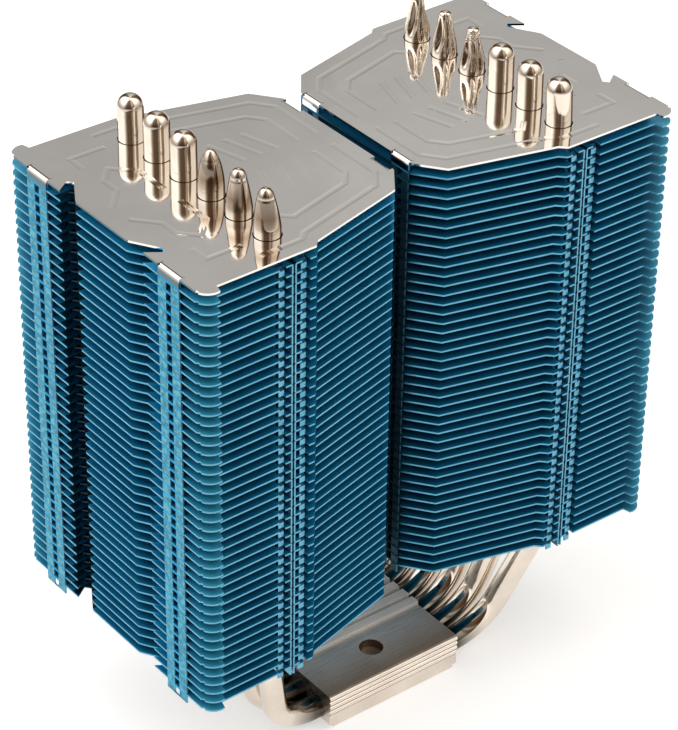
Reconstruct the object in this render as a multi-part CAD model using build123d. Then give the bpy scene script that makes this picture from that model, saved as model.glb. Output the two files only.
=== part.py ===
from build123d import *
import math
import os

# Twin-tower heat-pipe cooler for a processor, all sizes in mm.
# X runs from tower to tower, Y from fan face to fan face, Z up from the processor.
# The origin is on the underside of the base, in the middle of the cooler.

# Fin stacks
PLATE_TOP_Z = 147.6
FIN_PITCH = 2.49
FIN_COUNT = 44
FINS_PER_BANK = 4
FIN_THICKNESS = 0.4
FOLD_THICKNESS = 0.36
FOLD_BEND = 0.6
PLATE_THICKNESS = 0.5
PLATE_BEND = 1.4
PLATE_HOLE_GAP = 0.2

# Sheet outline of the right-hand tower, for the half with positive Y.
# The other half mirrors it, and the left-hand tower is the same sheet turned half a turn.
GAP_X = 2.2
GAP_EDGE_Y = 19.0
GAP_CORNER = (2.4, 19.8)
BEVEL_CORNER = (7.4, 26.4)
JOG_INNER = (33.1, 33.1)
JOG_OUTER = (34.6, 34.6)
EAR_ROOT = (60.25, 34.9)
EAR_NECK = (60.8, 36.9)
EAR_ARC_START = (61.5, 37.0)
EAR_RADIUS = 3.5
EAR_NOTCH = [(64.5, 34.5), (64.6, 34.1), (65.0, 33.8)]
EAR_NOTCH_ANGLE = 22.0
OUTER_X = 65.0
MIDDLE_EDGE_Y = 9.4
FOLD_FACE_X = 65.15
HOOK_TIP = (65.0, 15.6)
CLIP_SLOT_OUTER = (61.7, 17.9)
CLIP_SLOT_INNER = (60.7, 16.6)
MIDDLE_CORNER = (64.6, 10.2)

# Folded edges that hold the sheets apart
RELIEF_GAP = 0.12
CUT_REACH = 5.0
OUTER_FOLD = (20.9, 28.4)
INNER_FOLD = (13.0, 19.0)
SIDE_TAB_LEAD = 1.6
WINDOW_WIDTH = 1.8
WINDOW_TOP = 0.5
WINDOW_BOTTOM = 2.38
SLIT_HALF = 0.25
SLIT_LENGTH = 4.0
SLIT_BEND = 0.5
LIP_LEAD = 0.6
STRIP_HALF = 2.1
STRIP_EDGE_Y = 34.35
CONNECTOR_HALF = 4.0
FRONT_TAB = (2.14, 3.58)
FRONT_TAB_Y = 33.75
FRONT_TAB_BEND = 1.4
FRONT_TAB_LEAD = 1.5

# Heat pipes
PIPE_RADIUS = 3.0
PIPE_WALL = 0.45
WICK_THICKNESS = 0.4
PIPE_FIT = 0.02
PIPE_TOWER_X = 40.15
PIPE_TOWER_PITCH = 10.0
PIPE_BASE_PITCH = 6.8
PIPE_BASE_Z = 4.0
PIPE_LOW_CORNER_X = 31.3
PIPE_LOW_BEND = 13.8
PIPE_HIGH_CORNER_Z = 33.0
PIPE_HIGH_BEND = 17.5
PIPE_TIP_Z = 158.7
PIPE_COUNT = 6
CRIMP_LENGTH = 7.6
CRIMP_RADIUS = 1.95
CRIMP_CAP = 2.4
COLLAR_WALL = 0.35
COLLAR_HEIGHT = 1.2

# Base
BASE_HALF_X = 19.6
BASE_HALF_Y = 22.4
BASE_STEP = 1.2
BASE_INSET = 0.3
CAP_TOP_Z = 9.7
SIDE_RIB_PITCH = 1.4
SIDE_RIB_COUNT = 4
SIDE_RIB_RADIUS = 0.62
TOP_RIB_HALF_SPAN = 6.9
TOP_RIB_COUNT = 4
TOP_RIB_WIDTH = 2.6
TOP_RIB_HEIGHT = 1.1
BAR_HOLE_RADIUS = 3.0
BAR_HOLE_Y = 13.0
BAR_HOLE_DEPTH = 2.3
EDGE_EASE = 0.3

# Pressed band ornament on the top plates
BAND_WIDTH = 1.7
BAND_FLOOR = 0.6
BAND_DEPTH = 0.035


def sheet_blank(thickness):
    """Flat sheet of the right-hand tower, with its top at Z = 0."""
    first = [(GAP_X, 0), (GAP_X, GAP_EDGE_Y), GAP_CORNER, BEVEL_CORNER, JOG_INNER, JOG_OUTER]
    first = first + [EAR_ROOT, EAR_NECK, EAR_ARC_START]
    center_x = EAR_ARC_START[0]
    center_y = EAR_ARC_START[1] - EAR_RADIUS
    arc_points = []
    for angle in ((90 + EAR_NOTCH_ANGLE) / 2, EAR_NOTCH_ANGLE):
        turn = math.radians(angle)
        x = center_x + EAR_RADIUS * math.cos(turn)
        arc_points.append((x, center_y + EAR_RADIUS * math.sin(turn)))
    last = [arc_points[1]] + EAR_NOTCH
    last = last + [HOOK_TIP, CLIP_SLOT_OUTER, CLIP_SLOT_INNER, MIDDLE_CORNER]
    last = last + [(OUTER_X, MIDDLE_EDGE_Y), (OUTER_X, 0)]
    ear = ThreePointArc(EAR_ARC_START, arc_points[0], arc_points[1])
    half = Polyline(*first) + ear + Polyline(*last)
    outline = Curve() + half + mirror(half, about=Plane.XZ)
    face = make_face(outline.edges())
    return Pos(0, 0, -thickness) * extrude(face, amount=thickness)


def pipe_row():
    """Y positions of the heat pipes in a tower."""
    middle = (PIPE_COUNT - 1) / 2
    return [(i - middle) * PIPE_TOWER_PITCH for i in range(PIPE_COUNT)]


def box_between(low, high):
    """Box from its lowest corner to its highest corner."""
    size = [b - a for a, b in zip(low, high)]
    center = [(a + b) / 2 for a, b in zip(low, high)]
    return Pos(*center) * Box(*size)


def fold(length, thickness, bend, lead):
    """Edge folded down: outer face on X = 0, top on Z = 0, centred on Y = 0."""
    inner = bend - thickness
    c45 = math.sin(math.radians(45))
    outer_mid = (-bend + bend * c45, -bend + bend * c45)
    inner_mid = (-bend + inner * c45, -bend + inner * c45)
    foot = -FIN_PITCH
    profile = (
        Line((-lead, 0), (-bend, 0))
        + ThreePointArc((-bend, 0), outer_mid, (0, -bend))
        + Polyline((0, -bend), (0, foot), (-thickness, foot), (-thickness, -bend))
        + ThreePointArc((-thickness, -bend), inner_mid, (-bend, -thickness))
        + Polyline((-bend, -thickness), (-lead, -thickness), (-lead, 0))
    )
    face = Plane.XZ * make_face(profile.edges())
    return extrude(face, amount=length / 2, both=True)


def both_ends(shape):
    """A feature and its mirror image in Y."""
    return [shape, mirror(shape, about=Plane.XZ)]


def fold_side_tab(sheet, span, face_x, facing, thickness, bend):
    """Cut the edge of a tower side back behind a tab, then add the folded tab."""
    low, high = span
    turn = 0 if facing > 0 else 180
    inner_x = face_x - facing * SIDE_TAB_LEAD
    outer_x = face_x + facing * CUT_REACH
    low_x, high_x = sorted((inner_x, outer_x))
    low_corner = (low_x, low - RELIEF_GAP, -CUT_REACH)
    cut = box_between(low_corner, (high_x, high + RELIEF_GAP, CUT_REACH))
    tab = fold(high - low, thickness, bend, SIDE_TAB_LEAD)
    tab = Pos(face_x, (low + high) / 2, 0) * Rot(0, 0, turn) * tab
    for removed, added in zip(both_ends(cut), both_ends(tab)):
        sheet = sheet - removed + added
    return sheet


def side_window(sheet, span, face_x):
    """Small opening through the middle of a side tab."""
    middle = (span[0] + span[1]) / 2
    low = (face_x - SIDE_TAB_LEAD / 2, middle - WINDOW_WIDTH / 2, -WINDOW_BOTTOM)
    high = (face_x + SIDE_TAB_LEAD / 2, middle + WINDOW_WIDTH / 2, -WINDOW_TOP)
    for opening in both_ends(box_between(low, high)):
        sheet -= opening
    return sheet


def edge_cut(low_x, high_x, depth_y):
    """Block that trims a sheet's fan-face edge back to a depth, between two X positions."""
    top = (high_x, STRIP_EDGE_Y + CUT_REACH, CUT_REACH)
    return box_between((low_x, depth_y, -CUT_REACH), top)


def fold_connector(sheet):
    """Slit with two turned-down lips and two tabs, on each fan face over the pipe row."""
    center = PIPE_TOWER_X
    slit_end = STRIP_EDGE_Y - SLIT_LENGTH
    half_cut = SLIT_HALF + LIP_LEAD
    tab_root = FRONT_TAB_Y - FRONT_TAB_LEAD
    features = [edge_cut(center - CONNECTOR_HALF, center + CONNECTOR_HALF, STRIP_EDGE_Y)]
    features.append(edge_cut(center - half_cut, center + half_cut, slit_end))
    for side in (1, -1):
        near, far = sorted((center + side * STRIP_HALF, center + side * CONNECTOR_HALF))
        features.append(edge_cut(near, far, tab_root))
    lip = fold(SLIT_LENGTH, FOLD_THICKNESS, SLIT_BEND, LIP_LEAD)
    lip_y = slit_end + SLIT_LENGTH / 2
    left_lip = Pos(center - SLIT_HALF, lip_y, 0) * lip
    right_lip = Pos(center + SLIT_HALF, lip_y, 0) * Rot(0, 0, 180) * lip
    tab_width = FRONT_TAB[1] - FRONT_TAB[0]
    tab_middle = (FRONT_TAB[0] + FRONT_TAB[1]) / 2
    tab = Rot(0, 0, 90) * fold(tab_width, FOLD_THICKNESS, FRONT_TAB_BEND, FRONT_TAB_LEAD)
    tabs = [Pos(center + side * tab_middle, FRONT_TAB_Y, 0) * tab for side in (1, -1)]
    for feature in features:
        for removed in both_ends(feature):
            sheet -= removed
    for feature in [left_lip, right_lip] + tabs:
        for added in both_ends(feature):
            sheet += added
    return sheet


def pipe_holes(sheet, gap):
    """Cut the row of holes for the heat pipes."""
    for y in pipe_row():
        sheet -= Pos(PIPE_TOWER_X, y, 0) * Cylinder(PIPE_RADIUS + gap, 2 * CUT_REACH)
    return sheet


def fin():
    """Fin of the right-hand tower, top at Z = 0, with a drawn collar round each pipe hole."""
    body = sheet_blank(FIN_THICKNESS)
    body = fold_side_tab(body, OUTER_FOLD, FOLD_FACE_X, 1, FOLD_THICKNESS, FOLD_BEND)
    body = fold_side_tab(body, INNER_FOLD, GAP_X, -1, FOLD_THICKNESS, FOLD_BEND)
    body = side_window(body, OUTER_FOLD, FOLD_FACE_X)
    body = side_window(body, INNER_FOLD, GAP_X)
    body = pipe_holes(fold_connector(body), PIPE_FIT)
    bore = PIPE_RADIUS + PIPE_FIT
    ring = Cylinder(bore + COLLAR_WALL, COLLAR_HEIGHT) - Cylinder(bore, COLLAR_HEIGHT)
    for y in pipe_row():
        body += Pos(PIPE_TOWER_X, y, -FIN_THICKNESS - COLLAR_HEIGHT / 2) * ring
    return body


def ornament_paths():
    """Plain angular bands, one half of the plate; the other half mirrors them."""
    border = [(6.2, 3.0), (6.2, 18.0), (9.8, 22.7), (33.4, 28.9), (35.4, 30.8), (46.5, 31.0)]
    inner = [(11.4, 3.0), (11.4, 14.4), (14.4, 18.0), (31.4, 22.6), (34.2, 20.0)]
    outer = [(47.0, 25.4), (56.0, 25.4), (56.0, 20.4)]
    middle = [(46.8, 3.0), (46.8, 12.4), (51.6, 17.2), (55.2, 13.2), (55.2, 8.4), (60.0, 3.0)]
    bars = [[(17.0 + 4.4 * i, 2.6), (19.8 + 4.4 * i, 12.6)] for i in range(3)]
    return [border, inner, outer, middle] + bars


def pressed_band(path):
    """Shallow pressed channel with gently sloping sides, to cut from a plate's top."""
    line = Polyline(*path)
    mouth = trace(line, line_width=BAND_WIDTH)
    floor = Pos(0, 0, -BAND_DEPTH) * trace(line, line_width=BAND_FLOOR)
    return loft([mouth.face(), floor.face()], ruled=True)


def top_plate():
    """Bright cover plate of the right-hand tower, with its top at Z = 0."""
    body = sheet_blank(PLATE_THICKNESS)
    body = fold_side_tab(body, OUTER_FOLD, FOLD_FACE_X, 1, PLATE_THICKNESS, PLATE_BEND)
    body = fold_side_tab(body, INNER_FOLD, GAP_X, -1, PLATE_THICKNESS, PLATE_BEND)
    body = pipe_holes(body, PLATE_HOLE_GAP)
    for path in ornament_paths():
        for band in both_ends(pressed_band(path)):
            body -= band
    return body


def pipe_path(tower_y, top_z):
    """Centre line of a heat pipe from the left-hand tower through the base to the right."""
    base_y = tower_y * PIPE_BASE_PITCH / PIPE_TOWER_PITCH
    right = [
        (PIPE_LOW_CORNER_X, base_y, PIPE_BASE_Z),
        (PIPE_TOWER_X, tower_y, PIPE_HIGH_CORNER_Z),
        (PIPE_TOWER_X, tower_y, top_z[1]),
    ]
    left = [
        (-PIPE_TOWER_X, tower_y, top_z[0]),
        (-PIPE_TOWER_X, tower_y, PIPE_HIGH_CORNER_Z),
        (-PIPE_LOW_CORNER_X, base_y, PIPE_BASE_Z),
    ]
    bends = [PIPE_HIGH_BEND, PIPE_LOW_BEND, PIPE_LOW_BEND, PIPE_HIGH_BEND]
    return FilletPolyline(*left, *right, radius=bends)


def ring_sweep(path, outer, inner):
    """Tube of two radii along a path that starts downwards at its first point."""
    start = path @ 0
    section = Plane(origin=start, z_dir=path % 0) * (Circle(outer) - Circle(inner))
    return sweep(section, path=path)


def dome_end(outer, wall):
    """Round closed end of a pipe, from Z = 0 up, as a shell."""
    inner = outer - wall
    c45 = math.sin(math.radians(45))
    profile = (
        Line((inner, 0), (outer, 0))
        + ThreePointArc((outer, 0), (outer * c45, outer * c45), (0, outer))
        + Line((0, outer), (0, inner))
        + ThreePointArc((0, inner), (inner * c45, inner * c45), (inner, 0))
    )
    return revolve(Plane.XZ * make_face(profile.edges()), axis=Axis.Z)


def crimp_end(outer, wall):
    """Closed end drawn down to a narrow round cap, from Z = 0 up."""
    inner = outer - wall
    neck = CRIMP_LENGTH - CRIMP_CAP
    shoulder = CRIMP_LENGTH - CRIMP_RADIUS
    c45 = math.sin(math.radians(45))
    cap_mid = (CRIMP_RADIUS * c45, shoulder + CRIMP_RADIUS * c45)
    bore_top = neck - 0.6
    profile = (
        Polyline((inner, 0), (outer, 0))
        + Spline((outer, 0), (CRIMP_RADIUS, neck), tangents=[(0, 1), (-0.15, 1)])
        + Line((CRIMP_RADIUS, neck), (CRIMP_RADIUS, shoulder))
        + ThreePointArc((CRIMP_RADIUS, shoulder), cap_mid, (0, CRIMP_LENGTH))
        + Line((0, CRIMP_LENGTH), (0, bore_top))
        + Spline((0, bore_top), (inner, 0), tangents=[(1, -0.6), (0, -1)])
    )
    return revolve(Plane.XZ * make_face(profile.edges()), axis=Axis.Z)


def heat_pipe(tower_y):
    """Shell of one heat pipe: one end is round and the other is crimped."""
    crimp_left = tower_y < 0
    dome_z = PIPE_TIP_Z - PIPE_RADIUS
    crimp_z = PIPE_TIP_Z - CRIMP_LENGTH
    top_z = (crimp_z, dome_z) if crimp_left else (dome_z, crimp_z)
    shell = ring_sweep(pipe_path(tower_y, top_z), PIPE_RADIUS, PIPE_RADIUS - PIPE_WALL)
    dome = dome_end(PIPE_RADIUS, PIPE_WALL)
    crimp = crimp_end(PIPE_RADIUS, PIPE_WALL)
    left_end, right_end = (crimp, dome) if crimp_left else (dome, crimp)
    shell += Pos(-PIPE_TOWER_X, tower_y, top_z[0]) * left_end
    shell += Pos(PIPE_TOWER_X, tower_y, top_z[1]) * right_end
    return shell


def pipe_wick(tower_y):
    """Sintered lining inside a heat pipe."""
    outer = PIPE_RADIUS - PIPE_WALL
    path = pipe_path(tower_y, (PLATE_TOP_Z, PLATE_TOP_Z))
    return ring_sweep(path, outer, outer - WICK_THICKNESS)


def pipe_grooves():
    """Straight round bars that leave the pipes' seats in the base."""
    bars = []
    for y in pipe_row():
        base_y = y * PIPE_BASE_PITCH / PIPE_TOWER_PITCH
        bar = Rot(0, 90, 0) * Cylinder(PIPE_RADIUS + PIPE_FIT, 4 * BASE_HALF_X)
        bars.append(Pos(0, base_y, PIPE_BASE_Z) * bar)
    return bars


def base_plate():
    """Contact plate that touches the processor, with the lower half of each pipe seat."""
    x, y = BASE_HALF_X, BASE_HALF_Y - BASE_INSET
    foot = x - BASE_STEP
    body = box_between((-x, -y, BASE_STEP), (x, y, PIPE_BASE_Z))
    body += box_between((-foot, -y, 0), (foot, y, BASE_STEP))
    for bar in pipe_grooves():
        body -= bar
    return chamfer(body.faces().sort_by(Axis.Z)[0].edges(), EDGE_EASE)


def cap_block():
    """Ribbed block that clamps the pipes onto the contact plate."""
    x, y = BASE_HALF_X, BASE_HALF_Y - SIDE_RIB_RADIUS
    body = box_between((-x, -y, PIPE_BASE_Z), (x, y, CAP_TOP_Z))
    for step in range(SIDE_RIB_COUNT):
        z = PIPE_BASE_Z + SIDE_RIB_PITCH * (step + 0.5)
        for side in (1, -1):
            rib = Rot(0, 90, 0) * Cylinder(SIDE_RIB_RADIUS, 2 * x)
            body += Pos(0, side * y, z) * rib
    rib_pitch = (2 * TOP_RIB_HALF_SPAN - TOP_RIB_WIDTH) / (TOP_RIB_COUNT - 1)
    for step in range(TOP_RIB_COUNT):
        low_y = -TOP_RIB_HALF_SPAN + rib_pitch * step
        high_y = low_y + TOP_RIB_WIDTH
        ridge = box_between((-x, low_y, CAP_TOP_Z - 1), (x, high_y, CAP_TOP_Z + TOP_RIB_HEIGHT))
        crest = ridge.edges().filter_by(Axis.X).group_by(Axis.Z)[-1]
        body += fillet(crest, EDGE_EASE)
    for bar in pipe_grooves():
        body -= bar
    for side in (1, -1):
        hole = Cylinder(BAR_HOLE_RADIUS, 2 * BAR_HOLE_DEPTH)
        body -= Pos(0, side * BAR_HOLE_Y, CAP_TOP_Z) * hole
    return body


def bank_levels(bank):
    """Heights of the fin tops in one bank, counted from the top of the stack."""
    first = bank * FINS_PER_BANK + 1
    return [PLATE_TOP_Z - FIN_PITCH * (first + i) for i in range(FINS_PER_BANK)]


def save(shape, name):
    """Write one named sub-part."""
    export_step(shape, "parts/" + name + ".step")


os.makedirs("parts", exist_ok=True)

save(base_plate(), "base_plate")
save(cap_block(), "cap_block")

for number, row_y in enumerate(pipe_row(), start=1):
    save(heat_pipe(row_y), "heat_pipe_" + str(number))
    save(pipe_wick(row_y), "pipe_wick_" + str(number))

cover = top_plate()
one_fin = fin()
for tower, turn in (("right", 0), ("left", 180)):
    save(Pos(0, 0, PLATE_TOP_Z) * Rot(0, 0, turn) * cover, "top_plate_" + tower)
    for bank in range(FIN_COUNT // FINS_PER_BANK):
        fins = [Pos(0, 0, z) * Rot(0, 0, turn) * one_fin for z in bank_levels(bank)]
        name = "fins_" + tower + "_" + str(bank + 1).zfill(2)
        save(Compound(children=fins), name)
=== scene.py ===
import math

import bmesh
import bpy
from mathutils import Matrix, Vector


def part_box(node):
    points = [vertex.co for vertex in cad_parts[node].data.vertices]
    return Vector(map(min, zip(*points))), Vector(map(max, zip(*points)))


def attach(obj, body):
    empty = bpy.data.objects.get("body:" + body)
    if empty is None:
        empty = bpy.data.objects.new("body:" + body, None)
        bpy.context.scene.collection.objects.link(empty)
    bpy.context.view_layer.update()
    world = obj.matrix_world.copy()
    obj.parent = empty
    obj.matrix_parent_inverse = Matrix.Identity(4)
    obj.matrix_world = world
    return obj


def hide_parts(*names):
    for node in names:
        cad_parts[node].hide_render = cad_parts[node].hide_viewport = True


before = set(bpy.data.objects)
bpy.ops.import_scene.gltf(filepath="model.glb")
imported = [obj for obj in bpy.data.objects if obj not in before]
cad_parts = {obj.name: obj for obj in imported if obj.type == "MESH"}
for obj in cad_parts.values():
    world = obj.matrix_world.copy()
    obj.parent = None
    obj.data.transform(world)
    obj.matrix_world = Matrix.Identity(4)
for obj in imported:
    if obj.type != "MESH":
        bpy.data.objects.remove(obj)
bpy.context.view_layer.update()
MM = 0.001

# ---------------------------------------------------------------------------
# camera
# ---------------------------------------------------------------------------
CAMERA_AT = (-0.3517, -0.4459, 0.4661)
AZIMUTH = math.radians(-38.18)
ELEVATION = math.radians(33.84)
ROLL = math.radians(0.89)
LENS = 145.35


def add_camera():
    """Camera from its place, its turn round the object, its tilt and its roll."""
    back = Vector(
        (
            math.sin(AZIMUTH) * math.cos(ELEVATION),
            -math.cos(AZIMUTH) * math.cos(ELEVATION),
            math.sin(ELEVATION),
        )
    )
    right = Vector((math.cos(AZIMUTH), math.sin(AZIMUTH), 0.0))
    up = back.cross(right)
    right_r = math.cos(ROLL) * right + math.sin(ROLL) * up
    up_r = -math.sin(ROLL) * right + math.cos(ROLL) * up
    cam = bpy.data.objects.new("camera", bpy.data.cameras.new("camera"))
    bpy.context.scene.collection.objects.link(cam)
    turn = Matrix((right_r, up_r, back)).transposed().to_4x4()
    cam.matrix_world = Matrix.Translation(Vector(CAMERA_AT)) @ turn
    cam.data.lens = LENS
    cam.data.sensor_width = 36.0
    cam.data.clip_start = 0.01
    cam.data.clip_end = 20.0
    bpy.context.scene.camera = cam


add_camera()

# ---------------------------------------------------------------------------
# material helpers
# ---------------------------------------------------------------------------


# sockets of the colour form of the mix node, which have no names of their own
MIX_A = 6
MIX_B = 7
MIX_OUT = 2


class Nodes:
    """Small wrapper for building one node material."""

    def __init__(self, name):
        self.material = bpy.data.materials.new(name)
        self.material.use_nodes = True
        self.tree = self.material.node_tree
        self.shader = self.tree.nodes["Principled BSDF"]

    def add(self, kind):
        return self.tree.nodes.new(kind)

    def link(self, a, b):
        self.tree.links.new(a, b)

    def into(self, source, socket):
        """Feed one of the shader's own sockets."""
        self.link(source, self.shader.inputs[socket])

    def set(self, socket, value):
        self.shader.inputs[socket].default_value = value

    def noise(self, scale, detail=3.0, stretch=(1, 1, 1)):
        """Noise in metres, with features about 1 / scale long, stretched per axis."""
        place = self.add("ShaderNodeTexCoord")
        mapping = self.add("ShaderNodeMapping")
        mapping.inputs["Scale"].default_value = stretch
        noise = self.add("ShaderNodeTexNoise")
        noise.inputs["Scale"].default_value = scale
        noise.inputs["Detail"].default_value = detail
        self.link(place.outputs["Object"], mapping.inputs["Vector"])
        self.link(mapping.outputs["Vector"], noise.inputs["Vector"])
        return noise.outputs["Fac"]

    def ramp(self, source, stops):
        """Colour or grey ramp over a factor."""
        ramp = self.add("ShaderNodeValToRGB")
        elements = ramp.color_ramp.elements
        while len(elements) < len(stops):
            elements.new(0.5)
        for element, (at, value) in zip(elements, stops):
            element.position = at
            colour = value if hasattr(value, "__len__") else (value, value, value)
            element.color = (*colour, 1.0)
        self.link(source, ramp.inputs["Fac"])
        return ramp.outputs["Color"]

    def mix(self, factor, a, b, blend="MIX"):
        """Blend two colour sockets by a factor socket, or fully by a number."""
        mix = self.add("ShaderNodeMix")
        mix.data_type = "RGBA"
        mix.blend_type = blend
        if isinstance(factor, bpy.types.NodeSocket):
            self.link(factor, mix.inputs["Factor"])
        else:
            mix.inputs["Factor"].default_value = factor
        self.link(a, mix.inputs[MIX_A])
        self.link(b, mix.inputs[MIX_B])
        return mix.outputs[MIX_OUT]

    def math(self, operation, source, *numbers):
        """A sum on a socket, with plain numbers as the other inputs."""
        node = self.add("ShaderNodeMath")
        node.operation = operation
        self.link(source, node.inputs[0])
        for index, number in enumerate(numbers, start=1):
            node.inputs[index].default_value = number
        return node.outputs[0]

    def axis_of(self, source, axis):
        """One axis of a vector."""
        split = self.add("ShaderNodeSeparateXYZ")
        self.link(source, split.inputs[0])
        return split.outputs[axis]

    def normal(self, axis):
        """One axis of the surface's direction."""
        return self.axis_of(self.add("ShaderNodeNewGeometry").outputs["True Normal"], axis)

    def flatness(self):
        """1 where the surface lies level, 0 where it stands upright."""
        return self.math("ABSOLUTE", self.normal("Z"))

    def upwardness(self):
        """1 where the surface faces up, 0.5 where it stands upright, 0 where it faces down."""
        return self.math("MULTIPLY_ADD", self.normal("Z"), 0.5, 0.5)

    def along(self, axis, scale=1.0):
        """Signed place along an axis of the object in metres, times a scale."""
        place = self.add("ShaderNodeTexCoord").outputs["Object"]
        return self.math("MULTIPLY", self.axis_of(place, axis), scale)

    def distance(self, axis, scale=1.0):
        """Distance in metres from the object's middle along an axis, times a scale."""
        place = self.add("ShaderNodeTexCoord").outputs["Object"]
        return self.math("MULTIPLY", self.math("ABSOLUTE", self.axis_of(place, axis)), scale)

    def window(self, axis, limits, signed=False):
        """1 between two distances from the object's middle along an axis, 0 elsewhere."""
        level = self.along(axis) if signed else self.distance(axis)
        low, high = limits
        above = self.math("GREATER_THAN", level, low)
        below = self.math("LESS_THAN", level, high)
        return self.times(above, below)

    def times(self, a, b):
        """Two masks or tints multiplied."""
        return self.mix(1.0, a, b, "MULTIPLY")

    def shaded(self, tone, mask, shade):
        """A tone, times a grey or a colour where a mask is 1."""
        return self.times(tone, self.ramp(mask, [(0.0, 1.0), (1.0, shade)]))

    def bump(self, height, strength, distance):
        bump = self.add("ShaderNodeBump")
        bump.inputs["Strength"].default_value = strength
        bump.inputs["Distance"].default_value = distance
        self.link(height, bump.inputs["Height"])
        self.into(bump.outputs["Normal"], "Normal")


# places on the object where a material changes or where light or shade is painted, as distances from
# its middle
CORNER_LIGHT_X = (57.0 * MM, 61.0 * MM)
CORNER_LIGHT_Y = (29.0 * MM, 33.5 * MM)
FOLD_FACE_X = (65.08 * MM, 70.0 * MM)
PLATE_FOLD_SHADE_X = (64.8 * MM, 70.0 * MM)
SLOT_SHADE_X = (60.2 * MM, 64.8 * MM)
SLOT_SHADE_Y = (9.8 * MM, 18.1 * MM)
FRONT_BEND_SHADE_Y = (31.2 * MM, 34.4 * MM)
LEFT_TOWER_X = (-60.0 * MM, -20.0 * MM)
RIDGE_HIGHLIGHT_Z = (9.75 * MM, 20.0 * MM)
HOLE_SHADE_X = (0.0, 3.1 * MM)
HOLE_SHADE_Y = (9.9 * MM, 16.1 * MM)
HOLE_SHADE_Z = (6.0 * MM, 9.6 * MM)


def fin_material():
    """Blue anodised sheet: deep on its faces and bends, paler on its cut edges and folds, with painted
    light on its outer corners and painted shade in the tower gap, in one clip slot, on the front tab
    bends and on its undersides.
    """
    m = Nodes("blue_anodised_fin")
    # Painted light: the sheet faces are paler and less metallic at the outer corners.
    corner_light = m.times(
        m.ramp(m.distance("X"), [(CORNER_LIGHT_X[0], 0.0), (CORNER_LIGHT_X[1], 1.0)]),
        m.ramp(m.distance("Y"), [(CORNER_LIGHT_Y[0], 0.0), (CORNER_LIGHT_Y[1], 1.0)]),
    )
    m.into(m.ramp(corner_light, [(0.0, 0.75), (1.0, 0.40)]), "Metallic")
    corner_light_tone = m.ramp(m.noise(70.0), [(0.35, (0.035, 0.34, 0.52)), (0.65, (0.05, 0.40, 0.60))])
    face = m.ramp(m.noise(70.0), [(0.35, (0.012, 0.32, 0.65)), (0.65, (0.018, 0.40, 0.77))])
    face = m.mix(corner_light, face, corner_light_tone)
    edge = m.ramp(m.noise(110.0), [(0.35, (0.10, 0.34, 0.49)), (0.65, (0.135, 0.40, 0.56))])
    fold = m.ramp(m.noise(900.0), [(0.38, (0.018, 0.17, 0.25)), (0.62, (0.08, 0.37, 0.47))])
    upright = m.mix(m.window("X", FOLD_FACE_X), edge, fold)
    tint = m.mix(m.ramp(m.flatness(), [(0.10, 0.0), (0.30, 1.0)]), upright, face)
    # Painted shade: the sheet darkens in the narrow gap between the two towers.
    gap_shade = m.ramp(m.distance("X", 200.0), [(0.40, 0.20), (0.75, 1.0)])
    tint = m.times(tint, gap_shade)
    # Painted shade: the clip slot on one side is darkened almost to black.
    slot_shade = m.times(m.window("Y", SLOT_SHADE_Y, signed=True), m.window("X", SLOT_SHADE_X))
    tint = m.shaded(tint, slot_shade, 0.10)
    # Painted shade: the bends of the front tabs, under the fin above, are darkened.
    bend = m.ramp(m.flatness(), [(0.10, 0.0), (0.22, 1.0), (0.95, 1.0), (0.99, 0.0)])
    tint = m.shaded(tint, m.times(bend, m.window("Y", FRONT_BEND_SHADE_Y)), 0.16)
    # Painted shade: faces that turn downwards are darkened.
    under = m.ramp(m.upwardness(), [(0.05, 0.25), (0.40, 1.0)])
    m.into(m.times(tint, under), "Base Color")
    m.into(m.ramp(m.noise(900.0, stretch=(1, 0.08, 1)), [(0.3, 0.30), (0.7, 0.42)]), "Roughness")
    m.bump(m.noise(1800.0, stretch=(1, 0.05, 1)), 0.12, 0.1 * MM)
    return m.material


def plate_material():
    """Bright mirror sheet, very slightly wavy, with painted shade and a painted bluish reflection down
    the faces of its side folds.
    """
    m = Nodes("mirror_plate")
    m.set("Metallic", 1.0)
    tone = m.ramp(m.noise(40.0), [(0.3, (0.76, 0.735, 0.70)), (0.7, (0.84, 0.82, 0.79))])
    # Painted shade and painted reflection: the fold faces are darkened and tinted blue like the fin
    # strips beside them.
    fold = m.ramp(m.flatness(), [(0.20, 1.0), (0.34, 0.0)])
    fold = m.times(fold, m.window("X", PLATE_FOLD_SHADE_X))
    m.into(m.shaded(tone, fold, (0.10, 0.20, 0.25)), "Base Color")
    m.into(m.ramp(m.noise(300.0), [(0.3, 0.05), (0.7, 0.10)]), "Roughness")
    m.bump(m.noise(60.0, detail=2.0), 0.22, 0.3 * MM)
    return m.material


def pipe_material(name, drawn):
    """Nickel plating, warm, with painted shade near the base and, if drawn, painted shade along the
    narrowed left end.
    """
    m = Nodes(name)
    m.set("Metallic", 1.0)
    tone = m.ramp(m.noise(150.0), [(0.3, (0.73, 0.645, 0.55)), (0.7, (0.83, 0.745, 0.65))])
    # Painted shade: the pipes darken towards the base, under the towers.
    tone = m.times(tone, m.ramp(m.distance("X", 20.0), [(0.44, 0.13), (0.60, 1.0)]))
    if drawn:
        # Painted shade: a dark brown band down the narrowed left ends.
        neck_shade = [(0.1478, 0.0), (0.1496, 1.0), (0.1550, 1.0), (0.1568, 0.0)]
        neck_shade = m.times(m.ramp(m.along("Z"), neck_shade), m.window("X", LEFT_TOWER_X, signed=True))
        tone = m.shaded(tone, neck_shade, (0.44, 0.37, 0.31))
    m.into(tone, "Base Color")
    m.into(m.ramp(m.noise(900.0, stretch=(1, 1, 0.08)), [(0.3, 0.08), (0.7, 0.14)]), "Roughness")
    m.bump(m.noise(260.0, detail=2.0, stretch=(1, 1, 0.35)), 0.10, 0.3 * MM)
    return m.material


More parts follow.
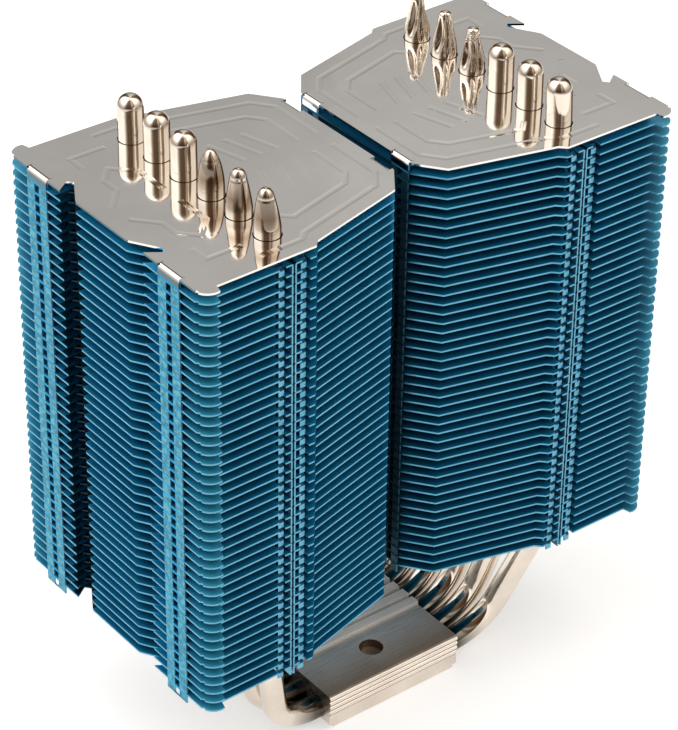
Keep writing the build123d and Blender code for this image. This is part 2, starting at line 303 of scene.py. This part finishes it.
def cap_material():
    """Extruded block: dull brushed grey-brown on top, bright on its ribs, with a painted highlight on
    its ridges and painted shade in its bar hole.
    """
    m = Nodes("cap_block_metal")
    level = m.ramp(m.flatness(), [(0.85, 0.0), (0.97, 1.0)])
    top = m.ramp(m.noise(60.0), [(0.3, (0.46, 0.47, 0.45)), (0.7, (0.64, 0.65, 0.62))])
    front = m.ramp(m.along("Y", -40.0), [(0.40, 1.0), (0.80, (0.45, 0.36, 0.29))])
    top = m.times(top, front)
    side = m.ramp(m.noise(60.0), [(0.3, (0.80, 0.72, 0.64)), (0.7, (0.90, 0.83, 0.75))])
    # Painted highlight: the ridges are pale and hardly metallic, so they look lit.
    ridge_highlight = m.ramp(m.noise(60.0), [(0.3, (0.88, 0.84, 0.78)), (0.7, (0.95, 0.92, 0.88))])
    ridge_highlight_mask = m.window("Z", RIDGE_HIGHLIGHT_Z)
    tint = m.mix(ridge_highlight_mask, m.mix(level, side, top), ridge_highlight)
    # Painted shade: the walls of the bar hole are darkened brown.
    hole_shade = m.times(m.window("Y", HOLE_SHADE_Y), m.window("X", HOLE_SHADE_X))
    hole_shade = m.times(hole_shade, m.window("Z", HOLE_SHADE_Z))
    m.into(m.shaded(tint, hole_shade, (0.42, 0.33, 0.26)), "Base Color")
    # The ridges are made nearly non-metallic as part of their painted highlight.
    m.into(m.shaded(m.ramp(level, [(0.0, 1.0), (1.0, 0.3)]), ridge_highlight_mask, 0.1), "Metallic")
    streak = m.noise(2500.0, stretch=(0.03, 1, 1))
    m.into(m.ramp(streak, [(0.3, 0.22), (0.7, 0.38)]), "Roughness")
    m.bump(streak, 0.3, 0.08 * MM)
    return m.material


def contact_material():
    """Brushed contact plate."""
    m = Nodes("contact_plate_metal")
    m.set("Metallic", 1.0)
    m.into(m.ramp(m.noise(90.0), [(0.3, (0.70, 0.62, 0.54)), (0.7, (0.82, 0.74, 0.65))]), "Base Color")
    streak = m.noise(2200.0, stretch=(0.03, 1, 1))
    m.into(m.ramp(streak, [(0.3, 0.25), (0.7, 0.42)]), "Roughness")
    m.bump(streak, 0.25, 0.06 * MM)
    return m.material


def wick_material():
    """Sintered copper grains."""
    m = Nodes("sintered_copper")
    m.set("Metallic", 1.0)
    grain = m.noise(2500.0, detail=5.0)
    m.into(m.ramp(grain, [(0.3, (0.30, 0.12, 0.06)), (0.7, (0.62, 0.30, 0.16))]), "Base Color")
    m.into(m.ramp(grain, [(0.3, 0.55), (0.7, 0.85)]), "Roughness")
    m.bump(grain, 0.6, 0.2 * MM)
    return m.material


def floor_material():
    """Pale table, softly lit from within so its shadows stay faint, greyer far away."""
    m = Nodes("floor")
    place = m.add("ShaderNodeTexCoord")
    reach = m.add("ShaderNodeVectorMath")
    reach.operation = "LENGTH"
    m.link(place.outputs["Object"], reach.inputs[0])
    fade = m.ramp(reach.outputs["Value"], [(0.50, (1.0, 0.995, 0.985)), (0.85, (0.36, 0.35, 0.34))])
    tone = m.ramp(m.noise(3.0), [(0.3, 0.54), (0.7, 0.56)])
    m.into(m.times(tone, fade), "Base Color")
    m.into(fade, "Emission Color")
    m.set("Emission Strength", 0.52)
    m.set("Roughness", 0.9)
    return m.material


def dress(names, material):
    """Give CAD nodes a material in place of their own."""
    for name in names:
        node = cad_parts[name]
        node.data.materials.clear()
        node.data.materials.append(material)


# ---------------------------------------------------------------------------
# heat pipes: one smooth tube each, with its formed ends
# ---------------------------------------------------------------------------
PIPE_R = 3.0 * MM
RING_SIDES = 72
END_RINGS = 44
PATH_STEP = 0.7 * MM
# pipes 1 to 3 are drawn at their left end, pipes 4 to 6 are crushed at their right end
LAST_DRAWN = 3
LAST_PIPE = 6
LEAN = {1: 0.40 * MM, 2: 0.15 * MM}
SLIGHT_LEAN = 0.1 * MM
# drawn ends: share of the full ogive against the slim bottle, for each pipe
FULLNESS = {1: 0.45, 2: 0.30, 3: 1.0}
DRAWN_LENGTH = 9.0 * MM
DRAWN_CAP = 1.8 * MM
OGIVE_POWER = 1.8
FLARE_POWER = 1.3
SEAM = (2.2 * MM, 2.45 * MM)
SEAM_DEPTH = 0.04 * MM
LOBE_SHARE = 0.03
# crushed ends
CRIMP_LENGTH = 11.1 * MM
NIB = 1.45 * MM
NIB_ROUND = 0.9 * MM
SHOULDER = (0.2 * MM, 9.8 * MM)
DEEPEST_LOSS = 0.6
MIDDLE_CRUSHED = 5
TURN_PER_PIPE = 9.0
WANDER = 6.0
# long dents of a crushed end: azimuth and half width in degrees, depth, start and end of its length
CREASES = [
    (196, 31, 0.46, 0.10, 0.86),
    (243, 14, 0.34, 0.02, 0.95),
    (279, 21, 0.38, 0.12, 0.97),
    (326, 24, 0.34, 0.04, 0.85),
    (20, 26, 0.40, 0.10, 0.92),
    (82, 24, 0.36, 0.05, 0.88),
    (140, 22, 0.36, 0.12, 0.95),
]
# route of a pipe through the base
LOW_CORNER_X = 31.3 * MM
BASE_Z = 4.0 * MM
HIGH_CORNER_Z = 33.0 * MM
LOW_BEND = 13.8 * MM
HIGH_BEND = 17.5 * MM
BELOW_PLATE = 1.2 * MM
TUCKED_IN = 1.0 * MM


def rounded_path(corners, radii, step):
    """Points along straight runs joined by arcs."""
    points = [corners[0]]
    for index, radius in enumerate(radii, start=1):
        before, here, after = corners[index - 1], corners[index], corners[index + 1]
        a = (before - here).normalized()
        b = (after - here).normalized()
        half = a.angle(b) / 2
        reach = radius / math.tan(half)
        centre = here + (a + b).normalized() * (radius / math.sin(half))
        start = here + a * reach - centre
        end = here + b * reach - centre
        sweep = start.angle(end)
        count = max(4, int(sweep * radius / step))
        for i in range(count + 1):
            share = i / count
            mixed = start * math.sin((1 - share) * sweep) + end * math.sin(share * sweep)
            points.append(centre + mixed / math.sin(sweep))
    points.append(corners[-1])
    return points


def ring_points(centre, side, other, radii):
    """One ring round a centre, with a radius for each of its points."""
    ring = []
    for i, radius in enumerate(radii):
        turn = 2 * math.pi * i / len(radii)
        ring.append(centre + side * (radius * math.cos(turn)) + other * (radius * math.sin(turn)))
    return ring


def smooth_step(low, high, value):
    """0 below low, 1 above high, and an even curve between."""
    share = min(1.0, max(0.0, (value - low) / (high - low)))
    return share * share * (3 - 2 * share)


def dome_radius(height, angle, top, number):
    """Radius of a round end at a height above the plate."""
    below = top - height
    if below >= PIPE_R:
        return PIPE_R
    return math.sqrt(max(0.0, PIPE_R ** 2 - (PIPE_R - below) ** 2))


def drawn_radius(height, angle, top, number):
    """Radius of an end drawn down to a narrow cap: an ogive, or a cap on a long flare."""
    below = top - height
    share = min(1.0, below / DRAWN_LENGTH)
    ogive = PIPE_R * math.sqrt(1.0 - (1.0 - share) ** OGIVE_POWER)
    inside = DRAWN_CAP - min(below, DRAWN_CAP)
    round_cap = math.sqrt(max(0.0, DRAWN_CAP ** 2 - inside ** 2))
    flare = min(1.0, max(0.0, (below - DRAWN_CAP) / (DRAWN_LENGTH - DRAWN_CAP))) ** FLARE_POWER
    bottle = round_cap + (PIPE_R - DRAWN_CAP) * flare
    seam = SEAM_DEPTH if SEAM[0] < below < SEAM[1] else 0.0
    lobe = 1.0 + LOBE_SHARE * math.sin(math.pi * share) * math.cos(2 * angle + number)
    fullness = FULLNESS[number]
    return (fullness * ogive + (1.0 - fullness) * bottle) * lobe - seam


def crushed_radius(height, angle, top, number):
    """Radius of an end crimped to a blunt nib, with long scoops between sharp ridges."""
    below = top - height
    body = NIB + (PIPE_R - NIB) * smooth_step(*SHOULDER, below)
    if below < NIB_ROUND:
        body *= math.sqrt(max(0.0, 1.0 - (1.0 - below / NIB_ROUND) ** 2))
    reach = below / CRIMP_LENGTH
    loss = 0.0
    for index, (azimuth, half_width, depth, start, end) in enumerate(CREASES):
        share = (reach - start) / (end - start)
        if not 0.0 < share < 1.0:
            continue
        belly = math.sin(math.pi * share)
        wander = WANDER * math.sin(5.0 * share + number + index)
        centre = math.radians(azimuth + TURN_PER_PIPE * (number - MIDDLE_CRUSHED) + wander)
        width = math.radians(half_width) * (0.35 + 0.65 * belly)
        offset = math.remainder(angle - centre, 2 * math.pi) / width
        if abs(offset) < 1.0:
            loss += depth * belly**0.6 * (1.0 - offset**2)
    return body * (1.0 - min(loss, DEEPEST_LOSS))


def end_heights(plate_z, top):
    """Ring heights of an end, from inside the plate and closer together towards the tip."""
    steps = [plate_z - TUCKED_IN]
    for i in range(END_RINGS + 1):
        share = 1 - (1 - i / END_RINGS) ** 1.6
        steps.append(plate_z + (top - 0.0005 * MM - plate_z) * share)
    return steps


def pipe_end(x, y, plate_z, top, radius_at, number):
    """Rings of one standing end, from below the plate up to the tip."""
    rings = []
    lean = LEAN.get(number, SLIGHT_LEAN)
    for height in end_heights(plate_z, top):
        radii = []
        for i in range(RING_SIDES):
            angle = 2 * math.pi * i / RING_SIDES
            radii.append(max(radius_at(height, angle, top, number), 0.02 * MM))
        bend = smooth_step(plate_z, top, height) * lean
        centre = Vector((x - 0.3 * bend, y + bend, height))
        rings.append(ring_points(centre, Vector((1, 0, 0)), Vector((0, 1, 0)), radii))
    return rings


def pipe_mesh(name, number, material):
    """One closed tube: left end, route through the base, right end."""
    low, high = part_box(name)
    plate_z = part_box("top_plate_right")[1].z
    x = high.x - PIPE_R
    drawn = number <= LAST_DRAWN
    front_y = low.y + PIPE_R
    back_y = high.y - PIPE_R
    tower_y, base_y = (front_y, back_y) if drawn else (back_y, front_y)
    top = high.z
    start_z = plate_z - BELOW_PLATE
    corners = [
        Vector((-x, tower_y, start_z)),
        Vector((-x, tower_y, HIGH_CORNER_Z)),
        Vector((-LOW_CORNER_X, base_y, BASE_Z)),
        Vector((LOW_CORNER_X, base_y, BASE_Z)),
        Vector((x, tower_y, HIGH_CORNER_Z)),
        Vector((x, tower_y, start_z)),
    ]
    path = rounded_path(corners, [HIGH_BEND, LOW_BEND, LOW_BEND, HIGH_BEND], PATH_STEP)
    left_end = drawn_radius if drawn else dome_radius
    right_end = dome_radius if drawn else crushed_radius
    left = pipe_end(-x, tower_y, plate_z, top, left_end, number)
    right = pipe_end(x, tower_y, plate_z, top, right_end, number)
    rings = [list(ring) for ring in reversed(left)]
    side = Vector((1, 0, 0))
    for index, point in enumerate(path):
        ahead = path[min(index + 1, len(path) - 1)] - path[max(index - 1, 0)]
        ahead.normalize()
        side = (side - ahead * side.dot(ahead)).normalized()
        other = side.cross(ahead)
        rings.append(ring_points(point, side, other, [PIPE_R] * RING_SIDES))
    last = rings[-1]
    rings.extend(matched(ring, last) for ring in right)
    vertices = [tuple(v) for ring in rings for v in ring]
    faces = []
    for r in range(len(rings) - 1):
        a, b = r * RING_SIDES, (r + 1) * RING_SIDES
        for i in range(RING_SIDES):
            j = (i + 1) % RING_SIDES
            faces.append((a + i, a + j, b + j, b + i))
    faces.append(tuple(range(RING_SIDES)))
    faces.append(tuple(reversed(range(len(vertices) - RING_SIDES, len(vertices)))))
    return add_mesh(name + "_tube", vertices, faces, material)


def matched(ring, reference):
    """The ring's points in the order that follows the reference ring's points."""
    count = len(ring)
    start = min(range(count), key=lambda k: (ring[k].xy - reference[0].xy).length)
    one = [ring[(start + i) % count] for i in range(count)]
    two = [ring[(start - i) % count] for i in range(count)]
    quarter = count // 4
    miss_one = (one[quarter].xy - reference[quarter].xy).length
    miss_two = (two[quarter].xy - reference[quarter].xy).length
    return one if miss_one <= miss_two else two


def add_mesh(name, vertices, faces, material):
    """A smooth-shaded object with its faces turned outward."""
    mesh = bpy.data.meshes.new(name)
    mesh.from_pydata(vertices, [], faces)
    mesh.validate()
    mesh.materials.append(material)
    for polygon in mesh.polygons:
        polygon.use_smooth = True
    work = bmesh.new()
    work.from_mesh(mesh)
    bmesh.ops.recalc_face_normals(work, faces=work.faces)
    work.to_mesh(mesh)
    work.free()
    piece = bpy.data.objects.new(name, mesh)
    bpy.context.scene.collection.objects.link(piece)
    return piece


names = sorted(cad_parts)
dress([n for n in names if n.startswith("fins_")], fin_material())
dress([n for n in names if n.startswith("top_plate")], plate_material())
dress([n for n in names if n.startswith("pipe_wick")], wick_material())
dress(["cap_block"], cap_material())
dress(["base_plate"], contact_material())

plain_nickel = pipe_material("nickel_pipe", False)
drawn_nickel = pipe_material("nickel_pipe_drawn", True)
for number in range(1, LAST_PIPE + 1):
    node = "heat_pipe_" + str(number)
    tube = pipe_mesh(node, number, drawn_nickel if number <= LAST_DRAWN else plain_nickel)
    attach(tube, "root")
    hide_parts(node)

# ---------------------------------------------------------------------------
# studio
# ---------------------------------------------------------------------------


FLOOR_HALF = 4.0
FLOOR_DROP = 0.2 * MM
LAMP_POWER = 22.0
WORLD_STRENGTH = 3.7


def add_floor():
    """Square table top just under the base."""
    mesh = bpy.data.meshes.new("floor")
    half = FLOOR_HALF
    mesh.from_pydata(
        [(-half, -half, 0), (half, -half, 0), (half, half, 0), (-half, half, 0)], [], [(0, 1, 2, 3)]
    )
    floor = bpy.data.objects.new("floor", mesh)
    floor.location = (0, 0, -FLOOR_DROP)
    mesh.materials.append(floor_material())
    bpy.context.scene.collection.objects.link(floor)


def add_area(name, at, look_at, size, power):
    """Broad soft light that shades the scene but is not itself seen in polished metal."""
    light = bpy.data.lights.new(name, "AREA")
    light.shape = "RECTANGLE"
    light.size, light.size_y = size
    light.energy = power
    lamp = bpy.data.objects.new(name, light)
    lamp.visible_glossy = False
    lamp.location = at
    lamp.rotation_mode = "QUATERNION"
    lamp.rotation_quaternion = (Vector(look_at) - Vector(at)).to_track_quat("-Z", "Y")
    bpy.context.scene.collection.objects.link(lamp)


def add_world():
    """Soft studio surroundings: bright panels with brown gaps all round, dimmer towards the horizon."""
    world = bpy.data.worlds.new("studio")
    world.use_nodes = True
    tree = world.node_tree
    background = tree.nodes["Background"]

    def math_node(operation, a, b=None):
        node = tree.nodes.new("ShaderNodeMath")
        node.operation = operation
        for value, socket in ((a, node.inputs[0]), (b, node.inputs[1])):
            if isinstance(value, bpy.types.NodeSocket):
                tree.links.new(value, socket)
            elif value is not None:
                socket.default_value = value
        return node.outputs[0]

    def ramp(source, stops):
        node = tree.nodes.new("ShaderNodeValToRGB")
        elements = node.color_ramp.elements
        while len(elements) < len(stops):
            elements.new(0.5)
        for element, (at, value, tint) in zip(elements, stops):
            element.position = at
            element.color = (value * tint[0], value * tint[1], value * tint[2], 1)
        tree.links.new(source, node.inputs["Fac"])
        return node.outputs["Color"]

    def blend(kind, a, b):
        node = tree.nodes.new("ShaderNodeMix")
        node.data_type = "RGBA"
        node.blend_type = kind
        node.inputs["Factor"].default_value = 1.0
        tree.links.new(a, node.inputs[MIX_A])
        tree.links.new(b, node.inputs[MIX_B])
        return node.outputs[MIX_OUT]

    place = tree.nodes.new("ShaderNodeTexCoord")
    split = tree.nodes.new("ShaderNodeSeparateXYZ")
    tree.links.new(place.outputs["Generated"], split.inputs[0])
    turn = math_node("ARCTAN2", split.outputs["Y"], split.outputs["X"])
    turn = math_node("SUBTRACT", turn, math.radians(52))
    turn = math_node("FRACT", math_node("DIVIDE", turn, 2 * math.pi))
    warm = (1.0, 0.93, 0.86)
    grey = (1.0, 0.97, 0.94)
    brown = (1.0, 0.62, 0.36)
    white = (0.99, 0.995, 1.0)
    ring = ramp(
        turn,
        [
            (0.000, 0.190, grey),
            (0.035, 0.170, grey),
            (0.065, 0.05, brown),
            (0.110, 0.05, brown),
            (0.150, 0.70, white),
            (0.350, 0.74, white),
            (0.395, 0.24, warm),
            (0.430, 0.070, brown),
            (0.530, 0.052, brown),
            (0.565, 0.24, warm),
            (0.600, 0.10, brown),
            (0.625, 0.30, warm),
            (0.660, 0.48, warm),
            (0.810, 0.52, warm),
            (0.850, 0.05, brown),
            (0.920, 0.05, brown),
            (0.960, 0.215, grey),
        ],
    )
    height = ramp(
        split.outputs["Z"],
        [
            (0.0, 0.22, warm),
            (0.06, 0.24, warm),
            (0.26, 0.40, warm),
            (0.42, 0.57, white),
            (0.56, 0.80, white),
            (0.70, 1.0, white),
        ],
    )
    crown = ramp(split.outputs["Z"], [(0.90, 0.0, white), (0.98, 0.12, white)])
    surround = blend("MULTIPLY", ring, height)
    tree.links.new(blend("ADD", surround, crown), background.inputs["Color"])
    background.inputs["Strength"].default_value = WORLD_STRENGTH
    bpy.context.scene.world = world


add_floor()
add_world()
add_area("top_softbox", (-0.2, -0.3, 1.6), (0, 0, 0), (2.4, 2.4), LAMP_POWER)
bpy.context.scene.view_settings.view_transform = "Standard"
